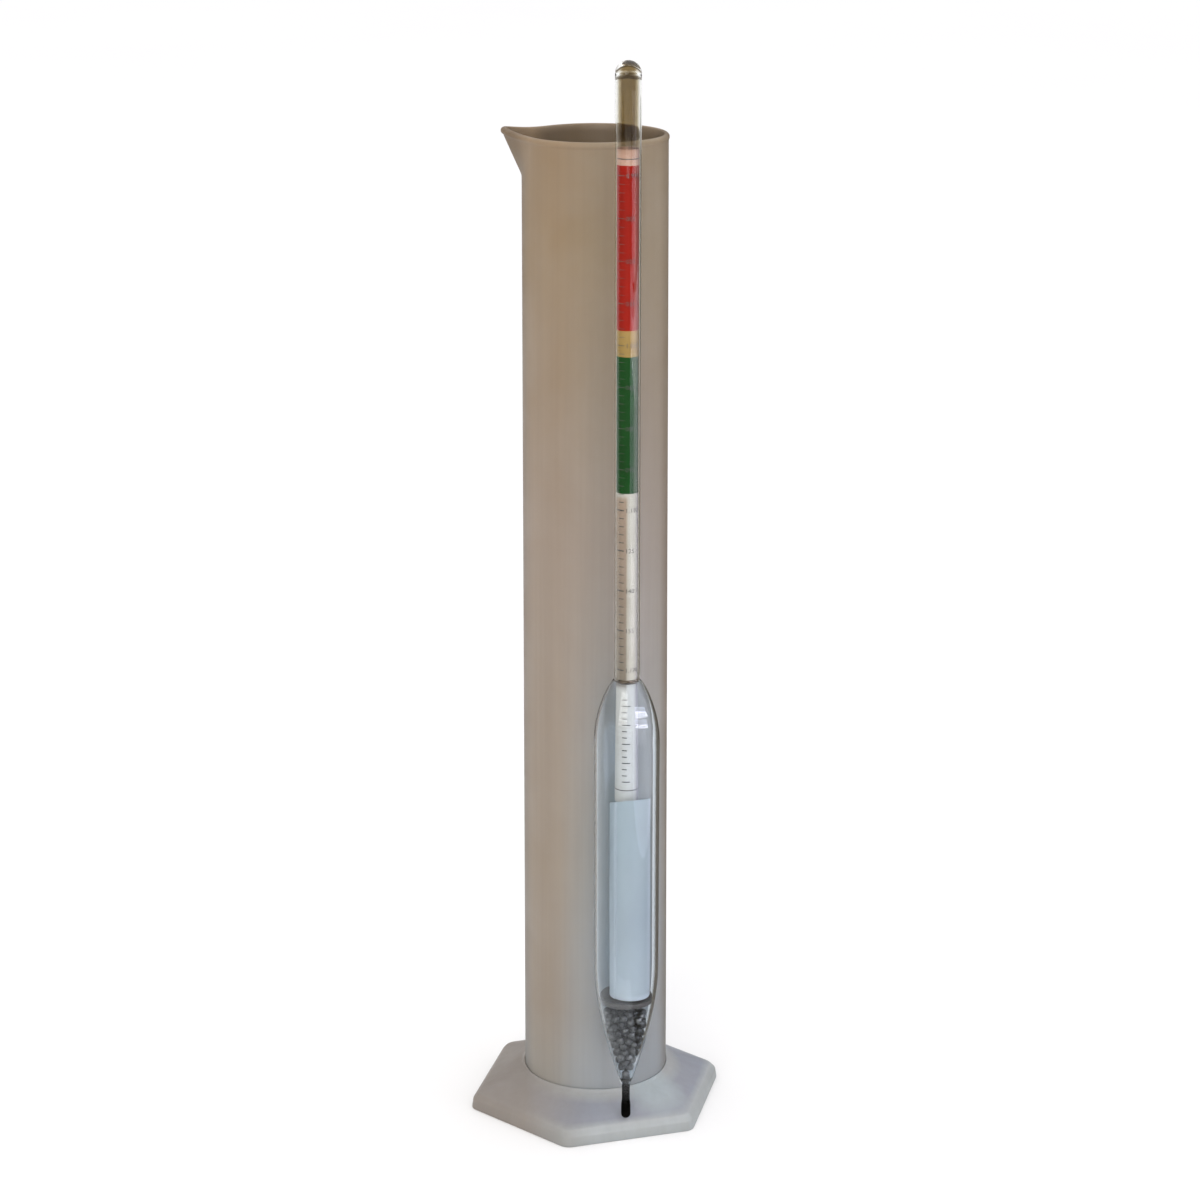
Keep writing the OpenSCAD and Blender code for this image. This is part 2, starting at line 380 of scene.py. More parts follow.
def jar_plastic():
    """The tube's plastic: warm above and paler towards the foot, partly painted light; painted light from
    the float on its front, painted warm light at its front left, painted shade down both sides in line with
    the spout, and painted shade on its inside.
    """
    n = Nodes("jar_plastic")
    # Partly painted light: the warm brown up the tube stands for a warm background seen through the plastic.
    up_jar = n.by_height(0, JAR_H, 0.0, 1.0)
    tone = n.ramp(up_jar, [(0.0, (0.375, 0.39, 0.39)), (0.05, (0.37, 0.375, 0.37)),
                           (0.12, (0.355, 0.33, 0.3)), (0.27, (0.365, 0.318, 0.265)),
                           (0.61, (0.365, 0.29, 0.228)), (0.89, (0.335, 0.245, 0.15)),
                           (1.0, (0.32, 0.23, 0.14))])
    dx, dy = n.off_axis(0, 0)
    # Painted shade down both sides in line with the spout, standing for the dark right edge of the tube.
    from_shaded_sides = n.maths("ARCSINE", n.maths("DIVIDE", n.maths("ABSOLUTE", dy), n.radius(0, 0)))
    tone = n.stain(n.by_angle(from_shaded_sides, 6, 28, 1.0, 0.0), tone, (0.64, 0.625, 0.6))
    front = n.remap(dy, -0.009, -0.002, 1.0, 0.0)
    # Painted light: a bluer band on the front, just left of the hydrometer, stands for light the float
    # throws onto the tube.
    float_light_by_height = n.ramp(up_jar, [(0.04, (0.3, 0.3, 0.3)), (0.2, (0.95, 0.95, 0.95)),
                              (0.4, (0.8, 0.8, 0.8)), (0.6, (0.4, 0.4, 0.4))])
    painted_float_light = n.product(front, float_light_by_height, n.remap(dx, -0.009, 0.001, 0.0, 1.0))
    tone = n.stain(painted_float_light, tone, (1.06, 1.3, 1.6))
    # Painted warm light low on the front left of the tube.
    brown = n.product(n.by_height(30, 120, 1.0, 0.0), n.remap(dx, -0.012, -0.006, 1.0, 0.0), front)
    tone = n.stain(brown, tone, (0.95, 0.87, 0.78))
    # Painted shade on the inner face of the wall.
    inside = n.remap(n.radius(0, 0), (RIM_R - WALL) * MM, (RIM_R - 0.3) * MM, 1.0, 0.0)
    tone = n.stain(inside, tone, (0.66, 0.68, 0.7))
    return frosted_plastic(n, tone, 0.22, 0.42)


def foot_plastic():
    """The foot's plastic: lilac grey, with painted highlights along its thin edge and its collar, painted
    warm shade on its left, and a painted pool of light on its slope in front of the float.
    """
    n = Nodes("foot_plastic")
    # Painted highlight: the skirt and bevel are paler than the sloping top.
    edge = n.ramp(n.by_height(0, COLLAR_H, 0.0, 1.0),
                  [(0.0, (0.36, 0.395, 0.405)), (0.34, (0.38, 0.415, 0.425)), (0.42, (0.4, 0.43, 0.445)),
                   (0.52, (0.275, 0.3, 0.355)), (1.0, (0.283, 0.305, 0.355))])
    # Painted highlight round the collar.
    collar = n.remap(n.radius(0, 0), (COLLAR_R + 0.2) * MM, (COLLAR_R + 2.8) * MM, 1.0, 0.0)
    tone = n.mix(collar, edge, (0.39, 0.41, 0.42))
    # Painted warm shade on the foot's left side.
    left = n.remap(n.split()["X"], -0.018, 0.0, 0.95, 0.0)
    tone = n.mix(left, tone, (0.255, 0.225, 0.2))
    # Painted light: a pale blue pool on the slope in front of the float, standing for window light that the
    # glass focuses there.
    caustic_x, caustic_y = 15, -15
    painted_caustic = n.remap(n.radius(caustic_x, caustic_y), 0.004, 0.009, 0.8, 0.0)
    tone = n.mix(painted_caustic, tone, (0.4, 0.47, 0.5))
    return frosted_plastic(n, tone, 0.12, 0.42)


def clear_glass(n, tint, ior, outline_shade):
    """Lamp-worked glass: clear, a little wavy, with painted shade at its outline, and the lamps shine
    through it.
    """
    wave = n.noise(1, 2, 0.4, vector=n.stretched((140, 140, 16)))
    normal = n.bump(wave, 0.02, 0.0002)
    # Painted shade at the outline, standing for dark surroundings seen in the glass there.
    tone = n.mix(n.remap(n.facing(), 0.5, 0.95, 0.0, 1.0), tint, outline_shade)
    smear = n.remap(n.noise(420, 2, 0.5), 0.55, 0.8, 0.0, 0.05)
    glass = n.add("ShaderNodeBsdfGlass", Color=tone, Roughness=smear, Normal=normal)
    glass.inputs["IOR"].default_value = ior
    clear = n.add("ShaderNodeBsdfTransparent", Color=(0.93, 0.95, 0.95))
    path = n.add("ShaderNodeLightPath")
    return n.finish(n.blend_shaders(path.outputs["Is Shadow Ray"], glass.outputs[0], clear.outputs[0]))


def float_glass():
    """Pale blue-green glass with painted shade along its right edge, and smoky where the tip is fused to the
    pitch.
    """
    n = Nodes("float_glass")
    pale = n.mix(n.noise(60, 2, 0.5), (0.91, 0.945, 0.975), (0.95, 0.97, 0.985))
    fused = n.by_height(TIP_Z + 4, TIP_Z + 11, 1.0, 0.0)
    # Painted shade: the outline is darker on the right side than on the left.
    dx = n.off_axis(AXIS_X, AXIS_Y)[0]
    side = n.remap(dx, -0.5 * FLOAT_R * MM, 0.5 * FLOAT_R * MM, 0.0, 1.0)
    outline_shade = n.mix(side, (0.92, 0.94, 0.96), (0.6, 0.58, 0.56))
    return clear_glass(n, n.mix(fused, pale, (0.09, 0.085, 0.08)), 1.36, outline_shade)


def stem_glass():
    """Clear glass with painted khaki on the inside above the scale, standing for a dark brown background
    seen through the stem.
    """
    n = Nodes("stem_glass")
    edge = PAPER_HIGH + TIP_Z
    above = n.by_height(edge - 2, edge + 3, 0.0, 1.0)
    inside = n.remap(n.radius(AXIS_X, AXIS_Y), (STEM_R - 0.2) * MM, (STEM_R - 0.1) * MM, 1.0, 0.0)
    # Painted: a khaki tint inside the stem above the scale stands for a dark brown background seen through
    # the glass.
    streak = n.noise(1, 2, 0.5, vector=n.stretched((700, 700, 30)))
    background_tint = n.mix(streak, (0.38, 0.31, 0.2), (0.48, 0.4, 0.27))
    core = n.remap(n.facing(), 0.16, 0.3, 1.0, 0.0)
    background_tint_mask = n.product(above, inside, core)
    return clear_glass(n, n.mix(background_tint_mask, (0.985, 0.99, 0.98), background_tint), 1.35, (0.9, 0.9, 0.89))


def pale_card():
    """Stiff grey-blue card: long fibres, stains, a paler foot, painted shade towards its right, and painted
    highlights along its lap, fold and hem.
    """
    n = Nodes("pale_card")
    fibre = n.noise(1, 4, 0.6, vector=n.stretched((1100, 1100, 160)))
    low, high = CARD_LOW + TIP_Z, CARD_HIGH + TIP_Z
    tone = n.ramp(n.by_height(low, high, 0.0, 1.0),
                  [(0.0, (0.6, 0.655, 0.7)), (0.3, (0.535, 0.59, 0.63)), (1.0, (0.52, 0.59, 0.62))])
    tone = n.mix(n.remap(fibre, 0.35, 0.7, 0.0, 0.22), tone, (0.56, 0.6, 0.66))
    stains = n.noise(70, 3, 0.6)
    tone = n.mix(n.remap(stains, 0.45, 0.75, 0.0, 0.18), tone, (0.3, 0.3, 0.36))
    round_card = n.angle_round(CARD_X, CARD_Y)
    # Painted shade towards the card's right side.
    tone = n.stain(n.by_angle(round_card, -40, 60, 0.0, 1.0), tone, (0.82, 0.82, 0.8))
    # Painted highlights along the lap, the fold and the hem.
    lap = n.line_at(round_card, -CARD_LAP, 0.02, 0.12, 0.8)
    fold = n.line_at(round_card, CARD_FOLD, 0.05, 0.35, 0.55)
    hem = n.by_height(low + 0.6, low + 1.6, 0.8, 0.0)
    tone = n.mix(n.maths("MAXIMUM", hem, n.maths("MAXIMUM", lap, fold)), tone, (0.66, 0.7, 0.74))
    normal = n.bump(fibre, 0.3, 0.00008)
    card = n.principled(Base_Color=tone, Roughness=n.remap(fibre, 0.3, 0.7, 0.5, 0.75), Normal=normal)
    through = n.add("ShaderNodeBsdfTranslucent", Color=tone, Normal=normal)
    return n.finish(n.blend_shaders(0.42, card.outputs[0], through.outputs[0]))


def printed_paper():
    """The rolled slip: white, with green, amber and red zones printed on it, painted shade down its left in
    the white zone, a painted highlight down its right and painted shade beyond it.
    """
    n = Nodes("printed_paper")
    wobble = n.maths("MULTIPLY", n.maths("SUBTRACT", n.noise(900, 2, 0.5), 0.5), 0.0003)
    height = n.maths("ADD", n.height(), wobble)
    span = PAPER_HIGH - PAPER_LOW
    along = n.remap(height, (PAPER_LOW + TIP_Z) * MM, (PAPER_HIGH + TIP_Z) * MM, 0.0, 1.0)

    def at(h):
        return (h - PAPER_LOW) / span

    white, white_in_float, margin = (0.42, 0.415, 0.39), (0.53, 0.525, 0.51), (0.44, 0.28, 0.225)
    green, amber, red = (0.004, 0.05, 0.008), (0.3, 0.2, 0.07), (0.27, 0.008, 0.004)
    zones = n.ramp(along, [(0.0, white_in_float), (at(NECK - 1), white), (at(GREEN_LOW), green),
                           (at(GREEN_HIGH), amber), (at(RED_LOW), red), (at(RED_HIGH), margin)], "CONSTANT")
    # Painted shade: the left of the slip is darkened brown in the white zone below the green.
    painted_left_shade = n.ramp(along, [(0.0, (1, 1, 1)), (at(NECK - 2), (0.95, 0.93, 0.9)),
                           (at(NECK - 1), (0.52, 0.47, 0.43)), (at(NECK + 25), (0.62, 0.5, 0.44)),
                           (at(GREEN_LOW - 1), (0.72, 0.56, 0.48)), (at(GREEN_LOW), (1, 1, 1)),
                           (1.0, (1, 1, 1))])
    round_slip = n.angle_round(AXIS_X, AXIS_Y)
    left = n.by_angle(round_slip, -8, 4, 1.0, 0.0)
    right = n.by_angle(round_slip, 30, 38, 0.0, 0.15)
    far = n.by_angle(round_slip, 38, 62, 0.0, 1.0)
    zones = n.mix(left, zones, n.stain(1.0, zones, painted_left_shade))
    # Painted highlight down the right of the slip.
    zones = n.mix(right, zones, white)
    # Painted shade beyond the highlight, further round to the right.
    zones = n.stain(far, zones, (0.62, 0.6, 0.66))
    screen = n.noise(1500, 3, 0.7)
    inked = n.stain(n.remap(screen, 0.4, 0.75, 0.0, 0.3), zones, (0.78, 0.74, 0.68))
    worn = n.stain(n.remap(n.noise(55, 4, 0.6), 0.4, 0.75, 0.0, 0.6), inked, (0.72, 0.68, 0.64))
    fibre = n.noise(1, 4, 0.6, vector=n.stretched((1400, 1400, 700)))
    normal = n.bump(fibre, 0.25, 0.00005)
    rough = n.remap(screen, 0.3, 0.7, 0.6, 0.85)
    paper = n.principled(Base_Color=worn, Roughness=rough, Normal=normal)
    paper.inputs["Specular IOR Level"].default_value = 0.03
    return n.finish(paper.outputs[0])


def printing_ink():
    """Black ink, with thin patches."""
    n = Nodes("printing_ink")
    tone = n.ramp(n.noise(2200, 3, 0.7), [(0.35, (0.02, 0.02, 0.022)), (0.8, (0.1, 0.095, 0.09))])
    rough = n.remap(n.noise(1800, 2, 0.5), 0.3, 0.7, 0.4, 0.65)
    ink = n.principled(Base_Color=tone, Roughness=rough)
    return n.finish(ink.outputs[0])


def dull_lead():
    """Lead shot: dark oxide with worn, brighter spots."""
    n = Nodes("dull_lead")
    patches = n.noise(520, 4, 0.65)
    tone = n.ramp(patches, [(0.3, (0.022, 0.022, 0.024)), (0.52, (0.07, 0.07, 0.07)),
                            (0.75, (0.21, 0.205, 0.2))])
    rough = n.remap(patches, 0.3, 0.75, 0.58, 0.3)
    normal = n.bump(n.noise(1900, 3, 0.6), 0.3, 0.0001)
    lead = n.principled(Base_Color=tone, Roughness=rough, Normal=normal)
    lead.inputs["Metallic"].default_value = 0.85
    return n.finish(lead.outputs[0])


def soaked_wad():
    """Fibre wad soaked in resin."""
    n = Nodes("soaked_wad")
    fibre = n.noise(1, 5, 0.7, vector=n.stretched((900, 900, 2400)), distortion=1.5)
    tone = n.ramp(fibre, [(0.3, (0.03, 0.027, 0.025)), (0.6, (0.085, 0.075, 0.07)),
                          (0.8, (0.17, 0.15, 0.14))])
    normal = n.bump(fibre, 0.6, 0.0002)
    rough = n.remap(fibre, 0.3, 0.7, 0.35, 0.6)
    wad = n.principled(Base_Color=tone, Roughness=rough, Normal=normal)
    return n.finish(wad.outputs[0])


def black_resin():
    """Black pitch with faint swirls."""
    n = Nodes("black_resin")
    swirl = n.noise(700, 4, 0.6, distortion=1.2)
    tone = n.ramp(swirl, [(0.3, (0.004, 0.004, 0.004)), (0.75, (0.018, 0.016, 0.014))])
    rough = n.remap(swirl, 0.3, 0.7, 0.14, 0.34)
    resin = n.principled(Base_Color=tone, Roughness=rough, Normal=n.bump(swirl, 0.2, 0.0001))
    return n.finish(resin.outputs[0])


def set_glue():
    """Dark brown set glue."""
    n = Nodes("set_glue")
    swirl = n.noise(1100, 3, 0.6)
    tone = n.ramp(swirl, [(0.3, (0.025, 0.018, 0.012)), (0.75, (0.1, 0.07, 0.045))])
    rough = n.remap(swirl, 0.3, 0.7, 0.2, 0.45)
    glue = n.principled(Base_Color=tone, Roughness=rough, Normal=n.bump(swirl, 0.3, 0.0001))
    return n.finish(glue.outputs[0])


# ---------------------------------------------------------------- jar
def wall_radius(z):
    """Outside radius of the tube's tapering wall."""
    return BASE_R - (BASE_R - RIM_R) * (z - JAR_LOW) / (JAR_H - JAR_LOW)


def lip_radius(angle, z, inset):
    """Radius of the tube with its spout, at an angle from the spout's direction."""
    r = wall_radius(z) - inset
    up = (z - (JAR_H - SPOUT_DROP + 1.2 * inset)) / (SPOUT_DROP + SPOUT_RISE - 1.2 * inset)
    if up <= 0:
        return r
    apex = r + (SPOUT_REACH - 1.1 * inset - r) * min(up, 1.0) ** 0.95
    soft = 0.06
    spread = math.acos(min(1.0, r / apex)) + soft
    turn = math.sqrt(angle * angle + soft * soft)
    return r if turn >= spread else r / math.cos(spread - turn)


def spout_angles():
    """Angles round the jar, closer together at the spout."""
    near = [math.radians(a) for a in np.linspace(-52, 52, 105)]
    far = [math.radians(a) for a in np.linspace(52, 308, 130)[1:-1]]
    return near + far


def build_jar(material):
    """The tube, with its floor, rounded rim and spout, as one closed wall."""
    bm = bmesh.new()
    columns = []
    for angle in spout_angles():
        signed = (angle + math.pi) % (2 * math.pi) - math.pi
        turn = math.pi - SPOUT_TURN + angle
        lift = (lip_radius(signed, JAR_H, 0) - RIM_R) / (SPOUT_REACH - RIM_R)
        top = JAR_H + SPOUT_RISE * max(0.0, lift) ** 1.3 - 0.02
        crest = top - BEAD
        outer = lip_radius(signed, crest, 0)
        inner = lip_radius(signed, crest, WALL)
        heights = list(np.linspace(JAR_LOW + 1.0, JAR_H - SPOUT_DROP - 2, 30))
        heights += list(np.linspace(JAR_H - SPOUT_DROP - 1, crest - 0.75, 16))
        profile = [(0.0, JAR_LOW)]
        profile += rounded([(0.0, JAR_LOW), (BASE_R - 0.1, JAR_LOW), (BASE_R - 0.02, JAR_LOW + 2)],
                           (0, 0.8, 0), 5)[1:-1]
        profile += [(lip_radius(signed, z, 0), z) for z in heights]
        middle, half = (outer + inner) / 2, (outer - inner) / 2 + 0.22
        for a in np.linspace(-40, 140, 13):
            a = math.radians(a)
            out = half if math.cos(a) > 0 else (outer - inner) / 2 + 0.02
            profile.append((middle + out * math.cos(a), crest + BEAD * math.sin(a)))
        profile += [(lip_radius(signed, z, WALL), z) for z in reversed(heights) if z > FLOOR_TOP + 2]
        floor_r = wall_radius(FLOOR_TOP) - WALL
        profile += rounded([(floor_r, FLOOR_TOP + 3), (floor_r, FLOOR_TOP), (0.0, FLOOR_TOP)],
                           (0, 1.4, 0), 5)[1:-1]
        profile += [(0.5 * floor_r, FLOOR_TOP - 0.1), (0.0, FLOOR_TOP - 0.1)]
        columns.append([on_circle(0, 0, r, turn, z) for r, z in profile])
    skin_columns(bm, columns)
    new_piece("trial_jar", "jar", bm, material, ["jar_tube"], 50)


# ---------------------------------------------------------------- foot
def hexagon_radius(angle, across, corner):
    """Distance from the axis to a rounded hexagon's side, at an angle from one of its corners."""
    beta = (angle + math.pi / 6) % (math.pi / 3) - math.pi / 6
    arc_at = across - corner / math.cos(math.pi / 6)
    limit = math.atan2(corner * 0.5, arc_at + corner * math.cos(math.pi / 6))
    if abs(beta) <= limit:
        return arc_at * math.cos(beta) + math.sqrt(corner ** 2 - (arc_at * math.sin(beta)) ** 2)
    return across * math.cos(math.pi / 6) / math.cos(math.pi / 6 - abs(beta))


def foot_angles():
    """Angles round the foot, closer together at its corners."""
    before, at_corner, after = np.linspace(-30, -8, 8), np.linspace(-7, 7, 15), np.linspace(8, 30, 8)[:-1]
    offsets = list(before) + list(at_corner) + list(after)
    return [math.radians(60 * corner + offset) for corner in range(6) for offset in offsets]


def build_foot(material):
    """The hexagonal foot: skirt, bevel, sloping top, collar, socket and hollow underside."""
    bm = bmesh.new()
    columns = []
    for angle in foot_angles():
        def side(across):
            return hexagon_radius(angle, across, CORNER_R)

        inner = side(FOOT_R - SHELL)
        bore = SOCKET_R - 0.04
        points = [(side(FOOT_R), 0.0), (side(SKIRT_R), SKIRT_H), (side(EDGE_R), EDGE_H),
                  (COLLAR_R + 1.9, SLOPE_TOP - 0.85), (COLLAR_R - 0.35, SLOPE_TOP + 0.25),
                  (SOCKET_R + 0.25, COLLAR_H), (bore, COLLAR_H - 0.1), (bore, JAR_LOW), (LEDGE_R, JAR_LOW),
                  (LEDGE_R, 0.0), (COLLAR_R, 0.0), (COLLAR_R, SLOPE_TOP - SHELL),
                  (side(EDGE_R - SHELL), EDGE_H - SHELL + 0.1), (inner, SKIRT_H - 1.2), (inner, 0.0)]
        radii = (0.35, 0.4, 0.45, 1.4, 0.8, 0.3, 0.1, 0.2, 0.3, 0.3, 0.3, 0.8, 0.8, 0.6, 0.3)
        turn = FOOT_TURN + angle
        columns.append([on_circle(0, 0, r, turn, max(0.0, z))
                        for r, z in rounded(points, radii, 4, closed=True)])
    skin_columns(bm, columns, closed_profile=True)
    for corner in range(6):
        add_rib(bm, FOOT_TURN + corner * math.pi / 3)
    new_piece("jar_foot", "foot", bm, material, ["hex_foot"], 40)


def add_rib(bm, turn):
    """One tapered rib under the foot, from the socket to a corner."""
    start, end, half = COLLAR_R - 0.4, FOOT_R - 4.5, 0.6
    low, high_in, high_out = 0.6, SLOPE_TOP - SHELL + 0.5, EDGE_H - SHELL + 0.6
    outline = [(start, low + 0.6), (end, low), (end, high_out), (start, high_in)]
    sides = []
    for across in (-half, half):
        sides.append([bm.verts.new((r * math.cos(turn) - across * math.sin(turn),
                                    r * math.sin(turn) + across * math.cos(turn), z)) for r, z in outline])
    left, right = sides
    bm.faces.new(left)
    bm.faces.new(list(reversed(right)))
    for i in range(4):
        j = (i + 1) % 4
        bm.faces.new((left[i], right[i], right[j], left[j]))


# ---------------------------------------------------------------- hydrometer's glass
def cone_radius(h):
    """Outside radius of the cone under the float."""
    return TAIL_R + (FLOAT_R - TAIL_R) * math.sin(math.pi / 2 * (h - TAIL_L) / CONE_L)


def shoulder_radius(h):
    """Outside radius of the shoulder above the float."""
    t = min(1.0, (h - SHOULDER) / (NECK - SHOULDER))
    return STEM_R + (FLOAT_R - STEM_R) * max(0.0, math.cos(math.pi / 2 * t)) ** 0.75


def outside_radius(h):
    """Outside radius of the glass at a height above the tip, up to the neck."""
    if h < TIP_H:
        return TIP_R if h > TIP_R else math.sqrt(max(0.0, TIP_R ** 2 - (TIP_R - h) ** 2))
    if h < TAIL_L:
        return TIP_R + (TAIL_R - TIP_R) * min(1.0, (h - TIP_H) / 1.2)
    if h < TAIL_L + CONE_L:
        return cone_radius(h)
    return FLOAT_R if h < SHOULDER else shoulder_radius(h)


def bore_radius(h):
    """Inside radius of the glass at a height above the tip, up to the neck."""
    if h < TAIL_L:
        return CAPILLARY_R
    wall = FLOAT_WALL
    if h > SHOULDER:
        wall += (STEM_WALL - FLOAT_WALL) * (h - SHOULDER) / (NECK - SHOULDER)
    return max(CAPILLARY_R, outside_radius(h) - wall)


def softened(radius, heights, spread):
    """The radius at each height, averaged over its neighbourhood, as glass flows in the flame."""
    offsets = np.linspace(-2, 2, 17)
    weights = np.exp(-offsets ** 2)
    weights /= weights.sum()
    low, high = heights[0], heights[-1]
    return [float(sum(w * radius(min(max(h + o * spread, low), high)) for o, w in zip(offsets, weights)))
            for h in heights]


def build_float(material):
    """The float: rounded bead, thin tail, cone, long body and shoulder, with a hollow inside."""
    bead = [TIP_R * (1 - math.cos(math.radians(a))) for a in range(0, 90, 10)]
    upper = list(np.arange(1.4, TAIL_L, 0.4)) + list(np.arange(TAIL_L, SHOULDER, 1.0))
    upper += list(np.arange(SHOULDER, NECK, 0.4)) + [NECK]
    outer = [(outside_radius(h), h) for h in bead]
    outer += list(zip(softened(outside_radius, upper, 0.5), upper))
    outer[-1] = (STEM_R, NECK)
    hollow = [h for h in upper if h > CAPILLARY_LOW]
    inner = [(min(b, o - 0.35), h) for b, o, h in
             zip(softened(bore_radius, hollow, 0.5), [outside_radius(h) for h in hollow], hollow)]
    inner[-1] = (STEM_R - STEM_WALL, NECK)
    profile = [(0.0, 0.0)] + outer[1:] + list(reversed(inner)) + [(0.0, CAPILLARY_LOW)]
    bm = bmesh.new()
    lathe(bm, profile, 112)
    new_piece("float_glass", "hydrometer", bm, material, ["float_bulb"], 60)


def build_stem(material):
    """The stem: a thin tube that a thicker dome closes at the top."""
    top = LENGTH - STEM_R
    bore = STEM_R - STEM_WALL
    low = NECK + 0.02
    outer = [(STEM_R, h) for h in np.linspace(low, top, 40)]
    outer += [(STEM_R * math.cos(math.radians(a)), top + STEM_R * math.sin(math.radians(a)))
              for a in range(8, 90, 8)]
    inner_top = top - DOME
    inner = [(bore * math.cos(math.radians(a)), inner_top + bore * math.sin(math.radians(a)))
             for a in range(80, 0, -8)]
    inner += [(bore, h) for h in np.linspace(inner_top, low, 40)]
    profile = [(bore, low)] + outer + [(0.0, LENGTH), (0.0, inner_top + bore)] + inner
    bm = bmesh.new()
    lathe(bm, profile, 80)
    new_piece("stem_glass", "hydrometer", bm, material, ["stem_tube"], 60)


# ---------------------------------------------------------------- inside the glass
def roll_radius(h, wrap):
    """Radius of the rolled slip: it springs open a little where it leaves the stem, inside the float."""
    loose = max(0.0, (NECK - 2 - h) / (NECK - 2 - PAPER_LOW))
    return PAPER_R - 0.02 + 0.3 * loose ** 0.7 - 0.1 * wrap


def close_sheets(bm, front, back):
    """Faces of a sheet with a thickness, from the rows of points of its two sides."""
    last_row, last = len(front) - 1, len(front[0]) - 1
    for i in range(last_row):
        for k in range(last):
            bm.faces.new((front[i][k], front[i][k + 1], front[i + 1][k + 1], front[i + 1][k]))
            bm.faces.new((back[i][k], back[i + 1][k], back[i + 1][k + 1], back[i][k + 1]))
        for k in (0, last):
            bm.faces.new((front[i][k], front[i + 1][k], back[i + 1][k], back[i][k]))
    for i in (0, last_row):
        for k in range(last):
            bm.faces.new((front[i][k], front[i][k + 1], back[i][k + 1], back[i][k]))


def roll_sheet(bm, turns, thickness, steps, rows, place):
    """A sheet rolled round: place gives a point from its row, how far it is wrapped and its inset."""
    sheets = []
    for inset in (0.0, thickness):
        sheets.append([[bm.verts.new(place(row, turns * k / steps, inset)) for k in range(steps + 1)]
                       for row in rows])
    close_sheets(bm, *sheets)


def build_paper(material):
    """The slip, rolled a little more than once round, so that its edges overlap."""
    turns, thickness, start = 1.18, 0.07, math.radians(100)
    heights = list(np.linspace(PAPER_LOW, NECK, 16)) + list(np.linspace(NECK, PAPER_HIGH, 26))[1:]

    def place(h, wrap, inset):
        r = roll_radius(h, wrap) - inset
        return on_circle(AXIS_X, AXIS_Y, r, start + 2 * math.pi * wrap, TIP_Z + h)

    bm = bmesh.new()
    roll_sheet(bm, turns, thickness, 84, heights, place)
    new_piece("scale_slip", "hydrometer", bm, material, ["paper_scale"], 50)


def on_slip(across, height):
    """A point of the printing: a distance round the slip from its middle, and a height above the tip."""
    r = roll_radius(height, 0.0) + 0.012
    return on_circle(AXIS_X, AXIS_Y, r, PRINT_TURN + across / r, TIP_Z + height)


def print_bar(bm, left, right, height, thick):
    """A printed line round the slip."""
    longest_step = 0.25
    steps = max(1, math.ceil(abs(right - left) / longest_step))
    low, high = [], []
    for k in range(steps + 1):
        across = left + (right - left) * k / steps
        low.append(bm.verts.new(on_slip(across, height - thick / 2)))
        high.append(bm.verts.new(on_slip(across, height + thick / 2)))
    for k in range(steps):
        bm.faces.new((low[k], low[k + 1], high[k + 1], high[k]))


def print_number(bm, text, left, height, size):
    """A number printed on the slip, upright, starting at left."""
    curve = bpy.data.curves.new("digits", "FONT")
    curve.body = text
    curve.size = size
    curve.resolution_u = 3
    holder = in_scene("digits", curve)
    bpy.context.view_layer.update()
    flat = bpy.data.meshes.new_from_object(holder)
    bpy.data.objects.remove(holder)
    verts = [bm.verts.new(on_slip(left + v.co.x, height - 0.35 * size + v.co.y)) for v in flat.vertices]
    for face in flat.polygons:
        bm.faces.new([verts[i] for i in face.vertices])
    bpy.data.meshes.remove(flat)


def build_print(material):
    """Ticks and numbers of two scales side by side, a line near each end, and marks inside the float."""
    bm = bmesh.new()
    low, high, marks = NECK + 3, PAPER_HIGH - 6, 60
    first_density, density_step, number_size = 1170, 3, 1.5
    for i in range(marks + 1):
        height = low + (high - low) * i / marks
        reach, thick = (2.0, 0.3) if i % 5 == 0 else (1.3, 0.2)
        finer = 0.55 if height > GREEN_LOW else 1.0
        print_bar(bm, COLUMN - reach, COLUMN, height, finer * thick)
        if i % 3 == 0:
            reach = 1.8 if i % 15 == 0 else 1.0
            print_bar(bm, SECOND_COLUMN, SECOND_COLUMN + reach, height, 0.16)
        if i % 5 == 0:
            density = first_density - density_step * i
            number = f"{density}"[-3:] if i % 20 else f"{density / 1000:.3f}"
            print_number(bm, number, COLUMN + 0.3, height, number_size)
        if i % 15 == 0:
            print_number(bm, f"{24 - 6 * i // 15}", SECOND_NUMBERS, height, number_size - 0.1)
    for height in (PAPER_HIGH - 2.2, PAPER_LOW + 3.3):
        print_bar(bm, -7.0, 7.0, height, 0.2)
    for i in range(14):
        height = PAPER_LOW + 5.5 + 1.6 * i
        print_bar(bm, COLUMN - 0.3, COLUMN + (0.9 if i % 3 else 1.7), height, 0.22)
    new_piece("scale_printing", "hydrometer", bm, material)


def build_card(material):
    """The card, rolled a little more than once round, that stands on the seal inside the float."""
    turns, thickness, start = 1.12, 0.14, math.radians(-90) - CARD_LAP

    def place(part, wrap, inset):
        h = CARD_LOW + (CARD_HIGH - CARD_LOW) * part
        r = CARD_R - 0.02 - 0.2 * wrap - inset + 0.03 * math.sin(5 * wrap + h / 9)
        r = min(r, CARD_R - inset)
        a = start - 2 * math.pi * wrap
        behind = CARD_R - r * math.cos(a - HYDRO_TURN)
        h -= part * behind * math.tan(CARD_SLANT)
        return on_circle(CARD_X, CARD_Y, r, a, TIP_Z + h)

    bm = bmesh.new()
    roll_sheet(bm, turns, thickness, 96, list(np.linspace(0, 1, 14)), place)
    new_piece("ballast_card", "hydrometer", bm, material, ["float_card"], 50)


